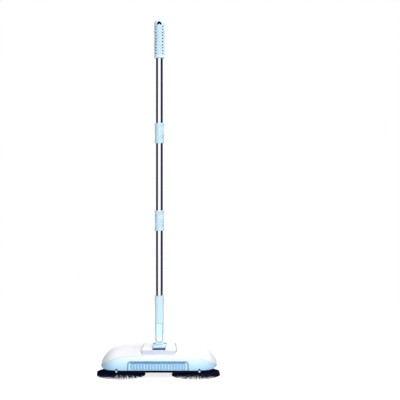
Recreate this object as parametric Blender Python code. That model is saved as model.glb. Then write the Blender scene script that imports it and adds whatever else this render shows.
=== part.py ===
"""Push-along carpet sweeper: two spinning disc brushes, a roller brush, a dust drawer and a three-piece pole.

Numbers are millimetres; each mesh is scaled to metres when it becomes an object.
The front of the sweeper faces -Y, +Z is up and the floor is Z = 0.
"""
import bpy
import bmesh
from math import cos, pi, radians, sin, tau

MM = 0.001
GAP = 0.3                      # clearance kept between neighbouring pieces

# --- head ---------------------------------------------------------------
POLE_Y = 10.5                  # pole axis, measured from the middle of the footprint
HEAD_HALF = 160.0              # half width of the hood
HEAD_FRONT = 90.0              # depth of the hood in front of the pole axis
HEAD_BACK = 97.0               # depth of the hood behind the pole axis
RIM_Z = 19.0                   # lower edge of the hood
HOOD_TOP = 73.0
CREASE_Z = 57.7                # edge between the white cover and the blue fascia
CREASE_LEAN = 0.935            # the crease stands this fraction of the front depth
APEX_BACK = 40.0               # highest line of the hood, behind the pole axis
WALL = 2.5
TIP_CUT = 0.988                # the hood stops at this fraction of its half width

# --- dust drawer ----------------------------------------------------------
DRAWER_HALF = 80.7
DRAWER_BOTTOM = 19.6
DRAWER_TOP = 42.5
DRAWER_CORNER = 8.0
RIB_PITCH = 8.0
RIB_COUNT = 18
BOX_HALF = 66.0
BOX_DEPTH = 77.0
BOX_WALL = 1.6

# --- chassis tray -----------------------------------------------------------
TRAY_BOTTOM = 13.0
TRAY_FLOOR = 14.8
TRAY_TOP = RIM_Z - GAP
TRAY_INSET = 2.0
TRAY_HALF = 146.0              # the tray stops short of the hood's tips
SLOT_HALF = 57.0               # roller slot in the tray
CLIP_X = 110.0                 # latch pegs on the front edge
CLIP_HALF = 2.2
CLIP_DEPTH = 3.6
CLIP_BOTTOM = 14.0
BLOCK_TOP = 26.0               # top of the axle bearings and roller brackets
BEARING_X = (62.0, 68.0)
BEARING_HALF = 6.2
BRACKET_X = (57.5, 60.5)
BRACKET_HALF = 6.0

# --- drive ------------------------------------------------------------------
AXLE_Y = POLE_Y + 38.0
AXLE_Z = 19.0
AXLE_R = 2.5
WHEEL_R = 19.0
WHEEL_IN = 112.0
WHEEL_OUT = 126.0
MODULE = 1.5
CLUSTER_X = 100.5              # vertical gear shafts and brush centres stand on this line
BRUSH_TEETH = 24
IDLER_TEETH = 36
PINION_TEETH = 9
CROWN_PINS = 18
AXLE_TEETH = 18
ROLLER_TEETH = 12
IDLER_Y = AXLE_Y - MODULE * (BRUSH_TEETH + IDLER_TEETH) / 2
BRUSH_Y = IDLER_Y - MODULE * (BRUSH_TEETH + IDLER_TEETH) / 2
ROLLER_Y = AXLE_Y - MODULE * (AXLE_TEETH + ROLLER_TEETH) / 2
CROWN_R = MODULE * CROWN_PINS / 2
PINION_Z = AXLE_Z + CROWN_R
GEAR_Z = 38.8                  # underside of the horizontal gear train
GEAR_THICK = 3.6
SHAFT_R = 2.0
SPINDLE_R = 3.0
CARRIER_Z = 43.0
CARRIER_THICK = 2.5
CARRIER_HALF = 8.0
CARRIER_Y = (-79.5, 67.5)      # ends of the gear carriers, from the pole axis
SHAFT_TOP = 46.5               # upper end of every upright shaft

# --- cradle for the pole and the posts that carry it ------------------------
# front, ridge and back line of the cradle: distance from the pole axis, half width, height
MOUNT_PLAN = ((-72.0, 42.0, 58.5), (-48.0, 48.0, 65.5), (35.0, 41.5, 75.0))
MOUNT_FLANGE = (46.0, 49.0)
MOUNT_FLANGE_HALF = 78.0
MOUNT_FLANGE_Y = (-66.0, 33.0)
BARREL_SLOT_HALF = 18.2
BARREL_SLOT_Y = (-44.0, 50.0)
BARREL_SLOT_FLOOR = 58.5
# posts on the tray: x, distance from the pole axis, radius, height of their top
POSTS = ((74.0, -60.0, 3.5, MOUNT_FLANGE[0]), (74.0, 28.0, 3.5, MOUNT_FLANGE[0]),
         (CLUSTER_X, -76.5, 3.0, CARRIER_Z), (CLUSTER_X, 64.0, 3.5, CARRIER_Z))
BUSH_R = 6.0

# --- brushes ----------------------------------------------------------------
BRUSH_R = 66.0
HUB_R = 30.0
HUB_BOTTOM = 5.0
HUB_TOP = 12.4
ROLLER_HALF = 48.0
ROLLER_R = 18.0

# --- pole -------------------------------------------------------------------
TILT_Z = 68.0
SWING_Z = 90.0
BARREL_R = 8.4
BARREL_HALF = 17.5
SOCKET_R = 12.9
SOCKET_TOP = 208.4
SOCKET_FLOOR = 140.0
FORK_GAP_HALF = 4.3
TUBE_R = 9.5
TUBE_WALL = 0.6
SLEEVE_R = TUBE_R + GAP
PANEL_HALF = 8.9
PANEL_TOP = 132.75
CONNECTORS = {"lower": (386.6, 442.4), "upper": (626.7, 682.5)}
GRIP_R = 14.15
GRIP_BOTTOM = 861.0
GRIP_TOP = 964.6
# right half of the hanging slot: distance from the middle, depth below the top of the grip
HANGING_SLOT = ((0.0, 11.8), (6.2, 15.4), (6.2, 9.2), (2.2, 5.2))

MATERIALS = {
    # name: (colour, roughness, metallic)
    "blue_plastic": ((0.55, 0.72, 0.88, 1.0), 0.32, 0.0),
    "white_plastic": ((0.90, 0.90, 0.93, 1.0), 0.28, 0.0),
    "drawer_plastic": ((0.36, 0.55, 0.74, 1.0), 0.35, 0.0),
    "black_plastic": ((0.012, 0.012, 0.022, 1.0), 0.45, 0.0),
    "bristle": ((0.012, 0.010, 0.030, 1.0), 0.60, 0.0),
    "chrome_steel": ((0.80, 0.81, 0.83, 1.0), 0.12, 1.0),
    "plain_steel": ((0.55, 0.55, 0.57, 1.0), 0.30, 1.0),
    "gear_plastic": ((0.86, 0.84, 0.76, 1.0), 0.40, 0.0),
    "rubber": ((0.03, 0.03, 0.03, 1.0), 0.85, 0.0),
}


# --- helpers ------------------------------------------------------------------
def clear_scene():
    for item in list(bpy.data.objects):
        bpy.data.objects.remove(item, do_unlink=True)


def material(name):
    found = bpy.data.materials.get(name)
    if found:
        return found
    colour, roughness, metallic = MATERIALS[name]
    made = bpy.data.materials.new(name)
    made.use_nodes = True
    shader = made.node_tree.nodes["Principled BSDF"]
    shader.inputs["Base Color"].default_value = colour
    shader.inputs["Roughness"].default_value = roughness
    shader.inputs["Metallic"].default_value = metallic
    made.diffuse_color = colour
    return made


def pivot(name, place, parent=None):
    """Empty on a joint axis; the moving pieces hang from it."""
    empty = bpy.data.objects.new(name, None)
    bpy.context.collection.objects.link(empty)
    empty.location = [value * MM for value in place]
    empty["place"] = place
    if parent:
        empty.parent = parent
        empty.location = [(value - base) * MM for value, base in zip(place, parent["place"])]
    return empty


def add_piece(name, bm, material_name, parent=None, smooth=False):
    """Turn a bmesh in world millimetres into an object in metres under its pivot."""
    bmesh.ops.remove_doubles(bm, verts=bm.verts, dist=1e-4)
    bmesh.ops.recalc_face_normals(bm, faces=bm.faces)
    base = parent["place"] if parent else (0.0, 0.0, 0.0)
    bmesh.ops.translate(bm, vec=[-value for value in base], verts=bm.verts)
    bmesh.ops.scale(bm, vec=(MM, MM, MM), verts=bm.verts)
    mesh = bpy.data.meshes.new(name)
    bm.to_mesh(mesh)
    bm.free()
    if smooth:
        mesh.shade_smooth()
        mesh.set_sharp_from_angle(angle=radians(35))
    mesh.materials.append(material(material_name))
    piece = bpy.data.objects.new(name, mesh)
    bpy.context.collection.objects.link(piece)
    piece.parent = parent
    return piece


def add_boolean(piece, operation, bm):
    """Boolean with a hidden tool that stays in the file, drawn as wire."""
    tool = add_piece(f"{piece.name}_tool_{len(piece.modifiers)}", bm, "black_plastic", piece.parent)
    tool.hide_render = True
    tool.display_type = "WIRE"
    step = piece.modifiers.new(operation.title(), "BOOLEAN")
    step.operation = operation
    step.object = tool


AXES = {
    "Z": lambda a, b, h: (a, b, h),
    "X": lambda a, b, h: (h, a, b),
    "Y": lambda a, b, h: (a, h, b),
}


def circle(radius, centre=(0.0, 0.0), sides=24, start=0.0):
    return [(centre[0] + radius * cos(start + tau * k / sides),
             centre[1] + radius * sin(start + tau * k / sides)) for k in range(sides)]


def rectangle(a0, a1, b0, b1):
    return [(a0, b0), (a1, b0), (a1, b1), (a0, b1)]


def plate(loops, low, high, axis="Z", bm=None):
    """Extrude an outline (first loop) with holes (other loops) along an axis."""
    bm = bm or bmesh.new()
    edges = []
    for loop in loops:
        verts = [bm.verts.new(AXES[axis](a, b, low)) for a, b in loop]
        edges += [bm.edges.new((verts[k - 1], verts[k])) for k in range(len(verts))]
    filled = bmesh.ops.triangle_fill(bm, edges=edges, use_beauty=True)
    faces = [item for item in filled["geom"] if isinstance(item, bmesh.types.BMFace)]
    grown = bmesh.ops.extrude_face_region(bm, geom=faces, use_keep_orig=True)
    top = [item for item in grown["geom"] if isinstance(item, bmesh.types.BMVert)]
    bmesh.ops.translate(bm, vec=AXES[axis](0.0, 0.0, high - low), verts=top)
    return bm


def lathe(profile, axis="Z", centre=(0.0, 0.0), sides=32, bm=None):
    """Turn a closed outline of (radius, height) points about an axis."""
    bm = bm or bmesh.new()
    rings = []
    for k in range(sides):
        angle = tau * k / sides
        rings.append([bm.verts.new(AXES[axis](centre[0] + r * cos(angle), centre[1] + r * sin(angle), h))
                      for r, h in profile])
    for k in range(sides):
        for j in range(len(profile)):
            corner = (rings[k - 1][j - 1], rings[k - 1][j], rings[k][j], rings[k][j - 1])
            if profile[j - 1][0] or profile[j][0]:
                bm.faces.new(corner)
    bmesh.ops.remove_doubles(bm, verts=bm.verts, dist=1e-4)
    return bm


def arc(centre, radius, start, end, steps):
    """Points on an arc, angles in degrees."""
    return [(centre[0] + radius * cos(radians(start + (end - start) * k / steps)),
             centre[1] + radius * sin(radians(start + (end - start) * k / steps)))
            for k in range(steps + 1)]


def gear_outline(teeth, centre, phase=0.0):
    """Straight-flanked gear outline; phase 0 puts a tooth at angle zero, in degrees."""
    radius = MODULE * teeth / 2
    half_tooth = pi * MODULE / 4 - 0.32
    rise = 0.8 * MODULE
    drop = 1.1 * MODULE
    slope = 0.36
    points = []
    for k in range(teeth):
        middle = radians(phase) + tau * k / teeth
        for level, side in ((-drop, -1), (rise, -1), (rise, 1), (-drop, 1)):
            half = (half_tooth - slope * level) / (radius + level)
            angle = middle + side * half
            points.append((centre[0] + (radius + level) * cos(angle),
                           centre[1] + (radius + level) * sin(angle)))
    return points


def gear(teeth, centre, low, high, bore, phase=0.0, axis="Z"):
    return plate([gear_outline(teeth, centre, phase), circle(bore, centre, 12)], low, high, axis)


# --- hood surfaces ------------------------------------------------------------
def taper(share, power, root):
    return max(0.0, 1.0 - abs(share) ** power) ** (1.0 / root)


def front_y(x, inset=0.0):
    """Plan outline of the hood, front half."""
    return POLE_Y - (HEAD_FRONT - inset) * taper(x / (HEAD_HALF - inset), 9.0, 1.6)


def back_y(x, inset=0.0):
    """Plan outline of the hood, back half."""
    return POLE_Y + (HEAD_BACK - inset) * taper(x / (HEAD_HALF - inset), 2.6, 2.6)


def crease_point(x, inset=0.0):
    lean = POLE_Y + (front_y(x, inset) - POLE_Y) * CREASE_LEAN
    height = RIM_Z + (CREASE_Z - RIM_Z - inset * 0.4) * taper(x / (HEAD_HALF - inset), 3.0, 1.6)
    return lean, height


def apex_point(x, inset=0.0):
    share = x / (HEAD_HALF - inset)
    height = RIM_Z + (HOOD_TOP - RIM_Z - inset) * taper(share, 6.0, 1.6)
    return POLE_Y + APEX_BACK * taper(share, 2.0, 1.0), height


def cover_section(x, inset, rise_steps, fall_steps):
    """Side profile of the white cover at one x: crease, apex, back rim."""
    crease_y, crease_z = crease_point(x, inset)
    apex_y, apex_z = apex_point(x, inset)
    rim_y = back_y(x, inset)
    points = []
    for k in range(rise_steps):
        share = k / rise_steps
        points.append((crease_y + (apex_y - crease_y) * share,
                       crease_z + (apex_z - crease_z) * sin(share * pi / 2) ** 1.15))
    for k in range(fall_steps + 1):
        angle = pi / 2 * k / fall_steps
        points.append((apex_y + (rim_y - apex_y) * sin(angle),
                       RIM_Z + (apex_z - RIM_Z) * max(0.0, cos(angle)) ** 0.6))
    return points


def fascia_section(x, inset, steps):
    """Side profile of the blue fascia at one x: lower edge up to the crease."""
    crease_y, crease_z = crease_point(x, inset)
    crease_z = max(crease_z - GAP, RIM_Z + 0.5)
    edge_y = front_y(x, inset)
    return [(edge_y + (crease_y - edge_y) * (k / steps) ** 1.6, RIM_Z + (crease_z - RIM_Z) * k / steps)
            for k in range(steps + 1)]


def shell(section, stations, *steps):
    """Closed wall between an outer skin and the same skin set in by WALL."""
    bm = bmesh.new()
    rows = []
    for station in stations:
        ring = []
        for inset in (0.0, WALL):
            x = station * TIP_CUT * (HEAD_HALF - inset)
            skin = [bm.verts.new((x, y, z)) for y, z in section(x, inset, *steps)]
            ring += skin if not inset else skin[::-1]
        rows.append(ring)
    for first, second in zip(rows, rows[1:]):
        for k in range(len(first)):
            bm.faces.new((first[k - 1], first[k], second[k], second[k - 1]))
    half = len(rows[0]) // 2
    for ring in (rows[0], rows[-1]):
        for k in range(half - 1):
            bm.faces.new((ring[k], ring[k + 1], ring[-2 - k], ring[-1 - k]))
    return bm


def hood_stations(count):
    """Stations from -1 to 1, closer together towards the tips."""
    return [sin(pi / 2 * (2 * k / count - 1)) for k in range(count + 1)]


def mount_outline(grow=0.0):
    (front, front_half, _), (ridge, ridge_half, _), (back, back_half, _) = MOUNT_PLAN
    right = [(front_half + grow, POLE_Y + front - grow), (ridge_half + grow * 1.2, POLE_Y + ridge),
             (back_half + grow, POLE_Y + back + grow)]
    return right + [(-x, y) for x, y in right[::-1]]


def build_top_cover():
    skin = shell(cover_section, hood_stations(28), 5, 7)
    cover = add_piece("top_cover", skin, "white_plastic", smooth=True)
    add_boolean(cover, "DIFFERENCE", plate([mount_outline(GAP)], 40.0, 90.0))


def drawer_outline(grow=0.0):
    """Drawer front seen from the front: square below, round upper corners."""
    half = DRAWER_HALF + grow
    top = DRAWER_TOP + grow
    corner = DRAWER_CORNER
    right = arc((half - corner, top - corner), corner, 0.0, 90.0, 4)
    left = arc((corner - half, top - corner), corner, 90.0, 180.0, 4)
    return right + left


def build_front_fascia():
    skin = shell(fascia_section, hood_stations(28), 3)
    fascia = add_piece("front_fascia", skin, "blue_plastic", smooth=True)
    side = DRAWER_HALF + GAP * 2
    opening = drawer_outline(GAP * 2) + [(-side, RIM_Z - 5.0), (side, RIM_Z - 5.0)]
    tool = plate([opening], POLE_Y - HEAD_FRONT - 10.0, POLE_Y - 60.0, "Y")
    for side in (-1, 1):
        notch = rectangle(side * CLIP_X - 2.5, side * CLIP_X + 2.5, RIM_Z - 5.0, RIM_Z + 4.5)
        plate([notch], POLE_Y - HEAD_FRONT - 10.0, POLE_Y - 60.0, "Y", tool)
    add_boolean(fascia, "DIFFERENCE", tool)


def build_handle_mount():
    """White cradle that carries the tilt barrel; it stands on the chassis posts."""
    bm = plate([mount_outline()], MOUNT_FLANGE[0], 90.0)
    mount = add_piece("handle_mount", bm, "white_plastic")
    front, ridge, back = [(POLE_Y + y, z) for y, _, z in MOUNT_PLAN]
    above = [(front[0] - 5.0, front[1] - 5.0 * (ridge[1] - front[1]) / (ridge[0] - front[0])), ridge,
             (back[0] + 5.0, back[1] + 5.0 * (back[1] - ridge[1]) / (back[0] - ridge[0])),
             (back[0] + 5.0, 100.0), (front[0] - 5.0, 100.0)]
    add_boolean(mount, "DIFFERENCE", plate([above], -60.0, 60.0, "X"))
    slot = [(POLE_Y + BARREL_SLOT_Y[0], BARREL_SLOT_FLOOR), (POLE_Y + BARREL_SLOT_Y[1], BARREL_SLOT_FLOOR),
            (POLE_Y + BARREL_SLOT_Y[1], 100.0), (POLE_Y + BARREL_SLOT_Y[0], 100.0)]
    add_boolean(mount, "DIFFERENCE", plate([slot], -BARREL_SLOT_HALF, BARREL_SLOT_HALF, "X"))
    add_boolean(mount, "DIFFERENCE", plate([circle(2.8, (POLE_Y, TILT_Z), 16)], -26.0, 26.0, "X"))
    flange = rectangle(-MOUNT_FLANGE_HALF, MOUNT_FLANGE_HALF,
                       POLE_Y + MOUNT_FLANGE_Y[0], POLE_Y + MOUNT_FLANGE_Y[1])
    add_boolean(mount, "UNION", plate([flange], *MOUNT_FLANGE))


# --- chassis ------------------------------------------------------------------
def tray_front(x, inset):
    return POLE_Y - (HEAD_FRONT - inset) * taper(x / (TRAY_HALF - inset), 14.0, 2.0)


def tray_outline(inset):
    """Plan of the tray: it follows the hood but stops short of its tips."""
    xs = [station * (TRAY_HALF - inset) for station in hood_stations(20)]
    return [(x, tray_front(x, inset)) for x in xs] + [(x, back_y(x, inset)) for x in xs[::-1]]


def build_chassis_tray():
    slots = [rectangle(-SLOT_HALF, SLOT_HALF, ROLLER_Y - 19.5, AXLE_Y + 17.0)]
    for side in (-1, 1):
        inner, outer = sorted((side * (CLUSTER_X + 4.3), side * (WHEEL_OUT + 1.5)))
        slots.append(rectangle(inner, outer, AXLE_Y - 20.5, AXLE_Y + 20.5))
        slots.append(circle(BUSH_R + GAP, (side * CLUSTER_X, BRUSH_Y), 16))
    bm = plate([tray_outline(TRAY_INSET + 0.5)] + slots, TRAY_BOTTOM, TRAY_FLOOR)
    tray = add_piece("chassis_tray", bm, "black_plastic")
    rim = plate([tray_outline(TRAY_INSET), tray_outline(TRAY_INSET + 2.5)], TRAY_BOTTOM + 0.4, TRAY_TOP)
    add_boolean(tray, "UNION", rim)
    posts = bmesh.new()
    for side in (-1, 1):
        for x, y, radius, top in POSTS:
            plate([circle(radius, (side * x, POLE_Y + y), 10)], TRAY_BOTTOM + 0.5, top - GAP, bm=posts)
    add_boolean(tray, "UNION", posts)


def build_clips():
    for side, label in ((-1, "left"), (1, "right")):
        front = tray_front(CLIP_X, TRAY_INSET) - GAP
        outline = rectangle(side * CLIP_X - CLIP_HALF, side * CLIP_X + CLIP_HALF, front - CLIP_DEPTH, front)
        add_piece(f"hood_clip_{label}", plate([outline], CLIP_BOTTOM, RIM_Z - GAP), "blue_plastic")


def build_bearings():
    for side, label in ((-1, "left"), (1, "right")):
        inner, outer = sorted(side * x for x in BEARING_X)
        block = rectangle(AXLE_Y - BEARING_HALF, AXLE_Y + BEARING_HALF, TRAY_FLOOR + GAP, BLOCK_TOP)
        bore = circle(AXLE_R + GAP, (AXLE_Y, AXLE_Z), 16)
        add_piece(f"axle_bearing_{label}", plate([block, bore], inner, outer, "X"), "gear_plastic")
        inner, outer = sorted(side * x for x in BRACKET_X)
        bracket = rectangle(ROLLER_Y - BRACKET_HALF, ROLLER_Y + BRACKET_HALF, TRAY_FLOOR + GAP, BLOCK_TOP)
        bore = circle(SHAFT_R + GAP, (ROLLER_Y, AXLE_Z), 16)
        add_piece(f"roller_bracket_{label}", plate([bracket, bore], inner, outer, "X"), "black_plastic")


def build_gear_carriers():
    for side, label in ((-1, "left"), (1, "right")):
        x = side * CLUSTER_X
        outline = rectangle(x - CARRIER_HALF, x + CARRIER_HALF, POLE_Y + CARRIER_Y[0], POLE_Y + CARRIER_Y[1])
        bores = [circle(SHAFT_R + GAP, (x, AXLE_Y), 12), circle(SHAFT_R + GAP, (x, IDLER_Y), 12),
                 circle(SPINDLE_R + GAP, (x, BRUSH_Y), 12)]
        add_piece(f"gear_carrier_{label}", plate([outline] + bores, CARRIER_Z, CARRIER_Z + CARRIER_THICK),
                  "black_plastic")


# --- dust drawer --------------------------------------------------------------
def build_drawer(drawer):
    face = POLE_Y - HEAD_FRONT - 0.5
    front = add_piece("drawer_front", plate([drawer_outline() + [(-DRAWER_HALF, DRAWER_BOTTOM),
                      (DRAWER_HALF, DRAWER_BOTTOM)]], face, face + 3.0, "Y"), "drawer_plastic", drawer)
    ribs = bmesh.new()
    for k in range(RIB_COUNT):
        x = (k - (RIB_COUNT - 1) / 2) * RIB_PITCH
        rib = rectangle(x - 2.4, x + 2.4, DRAWER_BOTTOM + 3.0, DRAWER_TOP - 3.0)
        plate([rib], face - 1.0, face + 1.0, "Y", ribs)
    add_boolean(front, "UNION", ribs)
    near = face + 3.0 + GAP
    far = near + BOX_DEPTH
    low = DRAWER_BOTTOM + GAP
    high = DRAWER_TOP - 1.5
    box = add_piece("dust_drawer", plate([rectangle(-BOX_HALF, BOX_HALF, near, far)], low, high),
                    "drawer_plastic", drawer)
    inside = rectangle(BOX_WALL - BOX_HALF, BOX_HALF - BOX_WALL, near + BOX_WALL, far - BOX_WALL)
    add_boolean(box, "DIFFERENCE", plate([inside], low + BOX_WALL, high + 5.0))
    mouth = rectangle(8.0 - BOX_HALF, BOX_HALF - 8.0, low + 7.0, high + 5.0)
    add_boolean(box, "DIFFERENCE", plate([mouth], far - 10.0, far + 5.0, "Y"))


# --- drive and brushes --------------------------------------------------------
def build_axle_group(axle):
    centre = (AXLE_Y, AXLE_Z)
    rod = plate([circle(AXLE_R, centre, 16)], -128.0, 128.0, "X")
    add_piece("drive_axle", rod, "plain_steel", axle, True)
    add_piece("axle_gear", gear(AXLE_TEETH, centre, 50.5, 54.5, AXLE_R + GAP, 0.0, "X"), "gear_plastic", axle)
    for side, label in ((-1, "left"), (1, "right")):
        inner, outer = sorted((side * WHEEL_IN, side * WHEEL_OUT))
        hub = [(AXLE_R + GAP, inner), (14.0, inner), (14.0, outer), (AXLE_R + GAP, outer)]
        add_piece(f"wheel_hub_{label}", lathe(hub, "X", centre, 24), "gear_plastic", axle, True)
        tyre = [(14.0 + GAP, inner), (WHEEL_R - 1.0, inner), (WHEEL_R, inner + 1.5), (WHEEL_R, outer - 1.5),
                (WHEEL_R - 1.0, outer), (14.0 + GAP, outer)]
        add_piece(f"tyre_{label}", lathe(tyre, "X", centre, 32), "rubber", axle, True)
        near, far = sorted((side * 108.5, side * 110.5))
        crown = plate([circle(CROWN_R + 1.5, centre, 36), circle(AXLE_R + GAP, centre, 12)], near, far, "X")
        crown_wheel = add_piece(f"crown_wheel_{label}", crown, "gear_plastic", axle)
        pins = bmesh.new()
        low, high = sorted((side * 106.3, side * 109.0))
        for k in range(CROWN_PINS):
            angle = tau * (k + 0.5) / CROWN_PINS
            spot = (centre[0] + CROWN_R * cos(angle), centre[1] + CROWN_R * sin(angle))
            plate([circle(0.8, spot, 6)], low, high, "X", pins)
        add_boolean(crown_wheel, "UNION", pins)


def build_transfer(label, side, shaft):
    centre = (side * CLUSTER_X, AXLE_Y)
    rod = plate([circle(SHAFT_R, centre, 12)], 24.5, SHAFT_TOP)
    add_piece(f"transfer_shaft_{label}", rod, "plain_steel", shaft, True)
    pinion_phase = 20.0 if side > 0 else 0.0
    pinion = gear(PINION_TEETH, centre, PINION_Z - 1.2, PINION_Z + 1.2, SHAFT_R + GAP, pinion_phase)
    add_piece(f"crown_pinion_{label}", pinion, "gear_plastic", shaft)
    wheel = gear(BRUSH_TEETH, centre, GEAR_Z, GEAR_Z + GEAR_THICK, SHAFT_R + GAP)
    add_piece(f"transfer_gear_{label}", wheel, "gear_plastic", shaft)


def build_idler(label, side, idler):
    centre = (side * CLUSTER_X, IDLER_Y)
    pin = plate([circle(SHAFT_R, centre, 12)], TRAY_FLOOR + GAP, SHAFT_TOP)
    add_piece(f"idler_pin_{label}", pin, "plain_steel", None, True)
    wheel = gear(IDLER_TEETH, centre, GEAR_Z, GEAR_Z + GEAR_THICK, SHAFT_R + GAP, 5.0)
    add_piece(f"idler_gear_{label}", wheel, "gear_plastic", idler)


def build_brush(label, side, spin):
    centre = (side * CLUSTER_X, BRUSH_Y)
    bush = [(SPINDLE_R + GAP, HUB_TOP + GAP), (BUSH_R, HUB_TOP + GAP), (BUSH_R, TRAY_FLOOR + GAP),
            (8.0, TRAY_FLOOR + GAP), (8.0, 16.6), (SPINDLE_R + GAP, 16.6)]
    add_piece(f"spindle_bush_{label}", lathe(bush, centre=centre, sides=16), "gear_plastic", None, True)
    spindle = plate([circle(SPINDLE_R, centre, 16)], HUB_BOTTOM + 0.5, SHAFT_TOP)
    add_piece(f"brush_spindle_{label}", spindle, "plain_steel", spin, True)
    wheel = gear(BRUSH_TEETH, centre, GEAR_Z, GEAR_Z + GEAR_THICK, SPINDLE_R + GAP)
    add_piece(f"brush_gear_{label}", wheel, "gear_plastic", spin)
    hub = [(SPINDLE_R + GAP, HUB_BOTTOM), (HUB_R, HUB_BOTTOM), (HUB_R, HUB_TOP - 1.0), (HUB_R - 1.0, HUB_TOP),
           (SPINDLE_R + GAP, HUB_TOP)]
    add_piece(f"brush_hub_{label}", lathe(hub, centre=centre), "black_plastic", spin, True)
    tufts = [(HUB_R + GAP, HUB_BOTTOM), (BRUSH_R - 22.0, 0.0), (BRUSH_R - 1.5, 0.0), (BRUSH_R, 1.5),
             (BRUSH_R, 9.5), (HUB_R + GAP, HUB_TOP - 0.4)]
    add_piece(f"brush_bristles_{label}", lathe(tufts, centre=centre, sides=40), "bristle", spin, True)


def build_roller(roller):
    centre = (ROLLER_Y, AXLE_Z)
    core = [(0.0, -61.0), (SHAFT_R, -61.0), (SHAFT_R, -ROLLER_HALF), (6.0, -ROLLER_HALF), (6.0, ROLLER_HALF),
            (SHAFT_R, ROLLER_HALF), (SHAFT_R, 61.0), (0.0, 61.0)]
    add_piece("roller_core", lathe(core, "X", centre, 16), "black_plastic", roller, True)
    tufts = [(6.0 + GAP, -ROLLER_HALF), (ROLLER_R, -ROLLER_HALF), (ROLLER_R, ROLLER_HALF),
             (6.0 + GAP, ROLLER_HALF)]
    add_piece("roller_bristles", lathe(tufts, "X", centre, 24), "bristle", roller, True)
    add_piece("roller_gear", gear(ROLLER_TEETH, centre, 50.5, 54.5, SHAFT_R + GAP, 15.0, "X"),
              "gear_plastic", roller)


# --- joint and pole -----------------------------------------------------------
def build_pivot_block(tilt):
    barrel = plate([circle(BARREL_R, (POLE_Y, TILT_Z), 24)], -BARREL_HALF, BARREL_HALF, "X")
    block = add_piece("pivot_block", barrel, "blue_plastic", tilt, True)
    tongue = arc((0.0, SWING_Z), 11.5, 0.0, 180.0, 10) + [(-9.0, TILT_Z), (9.0, TILT_Z)]
    add_boolean(block, "UNION", plate([tongue], POLE_Y - 4.0, POLE_Y + 4.0, "Y"))
    swing_bore = plate([circle(3.3, (0.0, SWING_Z), 16)], POLE_Y - 9.0, POLE_Y + 9.0, "Y")
    add_boolean(block, "DIFFERENCE", swing_bore)
    add_boolean(block, "DIFFERENCE", plate([circle(2.8, (POLE_Y, TILT_Z), 12)], -20.0, 20.0, "X"))
    pin = plate([circle(2.5, (POLE_Y, TILT_Z), 12)], -25.5, 25.5, "X")
    add_piece("tilt_pin", pin, "plain_steel", None, True)


def panel_outline(grow=0.0):
    half = PANEL_HALF + grow
    return arc((0.0, SWING_Z), half, 180.0, 360.0, 12) + [(half, PANEL_TOP + grow), (-half, PANEL_TOP + grow)]


def build_socket(swing):
    body = [(0.0, 70.0), (SOCKET_R, 70.0), (SOCKET_R, SOCKET_TOP - 1.0), (SOCKET_R - 1.0, SOCKET_TOP),
            (SLEEVE_R, SOCKET_TOP), (SLEEVE_R, SOCKET_FLOOR), (0.0, SOCKET_FLOOR)]
    socket = add_piece("pole_socket", lathe(body, centre=(0.0, POLE_Y)), "blue_plastic", swing, True)
    rounding = arc((0.0, SWING_Z), SOCKET_R, 180.0, 360.0, 14) + [(14.0, SWING_Z + 4.0), (14.0, 220.0),
                                                                   (-14.0, 220.0), (-14.0, SWING_Z + 4.0)]
    add_boolean(socket, "INTERSECT", plate([rounding], POLE_Y - 20.0, POLE_Y + 20.0, "Y"))
    fork = rectangle(-20.0, 20.0, 60.0, SWING_Z + 13.0)
    add_boolean(socket, "DIFFERENCE", plate([fork], POLE_Y - FORK_GAP_HALF, POLE_Y + FORK_GAP_HALF, "Y"))
    add_boolean(socket, "DIFFERENCE", plate([panel_outline(GAP)], POLE_Y - 20.0, POLE_Y - 7.3, "Y"))
    cap_seat = plate([circle(7.6, (0.0, SWING_Z), 20)], POLE_Y + 11.0, POLE_Y + 20.0, "Y")
    add_boolean(socket, "DIFFERENCE", cap_seat)
    bore = circle(3.3, (0.0, SWING_Z), 16)
    add_boolean(socket, "DIFFERENCE", plate([bore], POLE_Y - 9.0, POLE_Y + 15.0, "Y"))
    panel = plate([panel_outline(), bore], POLE_Y - 9.6, POLE_Y - 7.6, "Y")
    add_piece("socket_panel", panel, "blue_plastic", swing)
    add_piece("swing_pin", plate([circle(3.0, (0.0, SWING_Z), 16)], POLE_Y - 9.6, POLE_Y + 11.0, "Y"),
              "plain_steel", swing, True)
    for label, low, high in (("front", -12.4, -9.9), ("rear", 11.3, 13.3)):
        cap = plate([circle(7.3, (0.0, SWING_Z), 20)], POLE_Y + low, POLE_Y + high, "Y")
        add_piece(f"pivot_cap_{label}", cap, "white_plastic", swing, True)


def build_pole(swing):
    axis = (0.0, POLE_Y)
    middles = {name: (low + high) / 2 for name, (low, high) in CONNECTORS.items()}
    spans = {"lower": (SOCKET_FLOOR + GAP, middles["lower"] - 2.5),
             "middle": (middles["lower"] + 2.5, middles["upper"] - 2.5),
             "upper": (middles["upper"] + 2.5, 925.0)}
    for name, (low, high) in spans.items():
        wall = [(TUBE_R - TUBE_WALL, low), (TUBE_R, low), (TUBE_R, high), (TUBE_R - TUBE_WALL, high)]
        add_piece(f"pole_tube_{name}", lathe(wall, centre=axis), "chrome_steel", swing, True)
    for name, (low, high) in CONNECTORS.items():
        wide = SOCKET_R
        slim = SOCKET_R - 0.5
        sleeve = [(SLEEVE_R, low), (slim, low), (wide, low + 0.8), (wide, low + 9.0), (slim, low + 9.6),
                  (slim, high - 9.6), (wide, high - 9.0), (wide, high - 0.8), (slim, high), (SLEEVE_R, high)]
        add_piece(f"connector_{name}", lathe(sleeve, centre=axis), "blue_plastic", swing, True)
        plug_r = TUBE_R - TUBE_WALL - GAP
        plug = [(4.0, low + 8.0), (plug_r, low + 8.0), (plug_r, high - 8.0), (4.0, high - 8.0)]
        add_piece(f"connector_plug_{name}", lathe(plug, centre=axis, sides=16), "gear_plastic", swing, True)


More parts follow.
